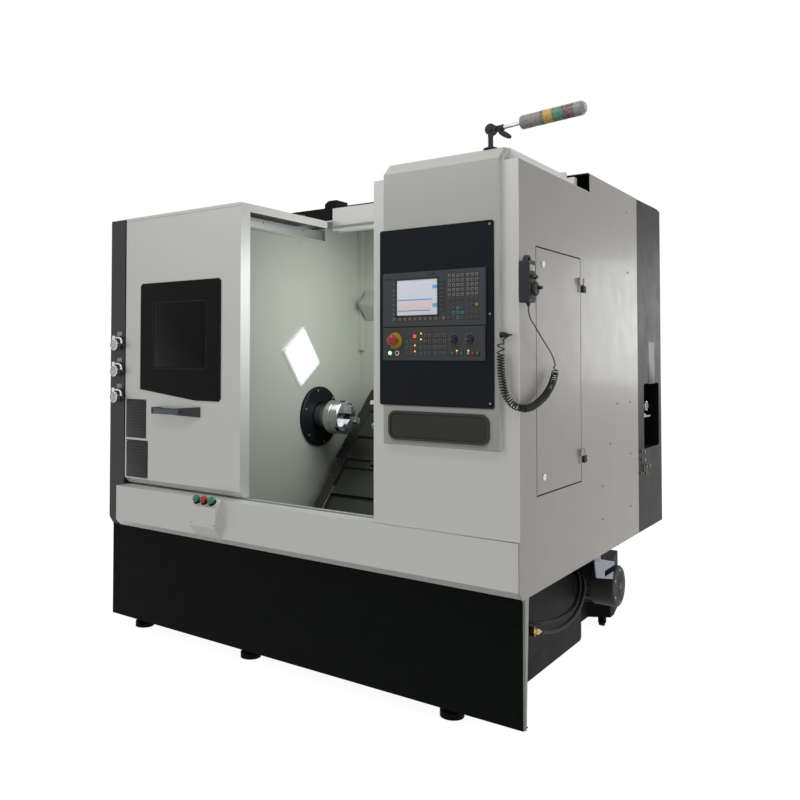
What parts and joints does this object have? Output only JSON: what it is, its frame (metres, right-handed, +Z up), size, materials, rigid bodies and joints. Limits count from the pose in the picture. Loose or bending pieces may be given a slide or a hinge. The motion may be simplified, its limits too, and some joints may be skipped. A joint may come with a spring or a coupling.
{
  "type": "slant bed cnc lathe",
  "caption": "Slant bed CNC lathe with an open sliding door, a chuck in a lit working area, a control column with pendant and a folded signal lamp.",
  "frame": {"origin": "middle of the whole machine's outline at the floor, under the levelling feet", "axes": "+X to the machine's right as seen from its front, +Y to its back, +Z up"},
  "size_m": [2.421, 1.874, 2.204],
  "materials": {
    "cream_enamel": "smooth semi-gloss light grey-cream powder coat",
    "black_enamel": "fine-textured satin black powder coat",
    "dark_steel": "dark grey satin paint and dark oxide",
    "bright_steel": "machined and ground steel",
    "aluminium_rail": "satin extrusion",
    "lamp_glow": "lit diffuser",
    "black_plastic": "satin moulded plastic",
    "console_grey": "fine-textured dark grey panel",
    "cable_black": "satin polyurethane sheath",
    "green_plastic": "glossy",
    "red_plastic": "glossy",
    "amber_lens": "translucent, lit",
    "green_lens": "translucent",
    "red_lens": "translucent",
    "cast_black": "painted black casting",
    "bracket_blue": "satin grey-blue paint"
  },
  "bodies": {
    "machine": {"base_casting": "cast_black", "kick_panel": "black_enamel", "levelling_feet": "black_plastic", "sill_cover": "cream_enamel", "door_track": "bright_steel", "button_box": "cream_enamel", "left_end_cabinet": "black_enamel", "air_gauges": "bright_steel", "headstock_housing": "cream_enamel", "spindle_wall": "cream_enamel", "wall_top_rail": "aluminium_rail", "work_light": "lamp_glow", "back_wall": "cream_enamel", "header_beam": "cream_enamel", "rear_roof": "black_enamel", "chip_tray": "dark_steel", "way_covers": "dark_steel", "cross_slide": "dark_steel", "turret": "bright_steel", "spindle_cover_disc": "black_enamel", "column_front": "cream_enamel", "column_side": "cream_enamel", "column_inner_wall": "cream_enamel", "control_housing": "cream_enamel", "control_panel": "black_enamel", "control_unit": "console_grey", "operator_panel": "console_grey", "lower_window": "black_enamel", "side_door_hinges": "black_plastic", "pendant": "black_plastic", "pendant_cord": "cable_black", "rear_cabinet": "black_enamel", "air_unit": "bright_steel", "coolant_tank": "black_enamel", "pump_motor": "black_plastic", "slotted_bracket": "bracket_blue", "upper_hose": "cable_black", "lower_hose": "cable_black", "lamp_base": "black_plastic"},
    "sliding_door": {"door_panel": "cream_enamel", "door_roof": "cream_enamel", "door_rollers": "bright_steel", "door_window": "black_enamel", "door_handle": "black_enamel"},
    "access_door": {"side_door": "cream_enamel", "side_door_locks": "black_plastic"},
    "spindle": {"chuck_body": "bright_steel", "chuck_jaws": "bright_steel"},
    "lamp_arm": {"lamp_clamp": "black_plastic", "lamp_rod": "bright_steel", "amber_lens": "amber_lens", "green_lens": "green_lens", "red_lens": "red_lens"},
    "left_palm": {"left_palm_button": "green_plastic"},
    "stop_palm": {"stop_palm_button": "red_plastic"},
    "right_palm": {"right_palm_button": "green_plastic"},
    "emergency_button": {"emergency_stop": "red_plastic"},
    "feed_knob": {"feed_dial": "black_plastic"},
    "speed_knob": {"speed_dial": "black_plastic"},
    "hand_wheel": {"pendant_wheel": "black_plastic"}
  },
  "joints": [
    {"name": "door_slide", "type": "slide", "parent": "machine", "child": "sliding_door", "axis": [1, 0, 0], "range_m": [0, 0.725]},
    {"name": "access_door_hinge", "type": "hinge", "parent": "machine", "child": "access_door", "pos_m": [1.0015, -0.252, 1.255], "axis": [0, 0, 1], "range_deg": [0, 110]},
    {"name": "spindle_turn", "type": "hinge", "parent": "machine", "child": "spindle", "pos_m": [-0.3055, -0.169, 1.046], "axis": [1, 0, 0], "continuous": true},
    {"name": "lamp_fold", "type": "hinge", "parent": "machine", "child": "lamp_arm", "pos_m": [0.8725, -0.823, 2.159], "axis": [0, -1, 0], "range_deg": [0, 86]},
    {"name": "left_palm_push", "type": "slide", "parent": "machine", "child": "left_palm", "axis": [0, 0.6691, -0.7431], "range_m": [0, 0.007], "stiffness_N_per_m": 900, "springref_m": -0.002},
    {"name": "stop_palm_push", "type": "slide", "parent": "machine", "child": "stop_palm", "axis": [0, 0.6691, -0.7431], "range_m": [0, 0.007], "stiffness_N_per_m": 900, "springref_m": -0.002},
    {"name": "right_palm_push", "type": "slide", "parent": "machine", "child": "right_palm", "axis": [0, 0.6691, -0.7431], "range_m": [0, 0.007], "stiffness_N_per_m": 900, "springref_m": -0.002},
    {"name": "emergency_stop_push", "type": "slide", "parent": "machine", "child": "emergency_button", "axis": [0, 1, 0], "range_m": [0, 0.006]},
    {"name": "feed_dial_turn", "type": "hinge", "parent": "machine", "child": "feed_knob", "pos_m": [0.7645, -0.908, 1.409], "axis": [0, 1, 0], "range_deg": [-135, 135]},
    {"name": "speed_dial_turn", "type": "hinge", "parent": "machine", "child": "speed_knob", "pos_m": [0.8275, -0.908, 1.409], "axis": [0, 1, 0], "range_deg": [-135, 135]},
    {"name": "hand_wheel_turn", "type": "hinge", "parent": "machine", "child": "hand_wheel", "pos_m": [1.0515, -0.861, 1.578], "axis": [1, 0, 0], "continuous": true}
  ]
}
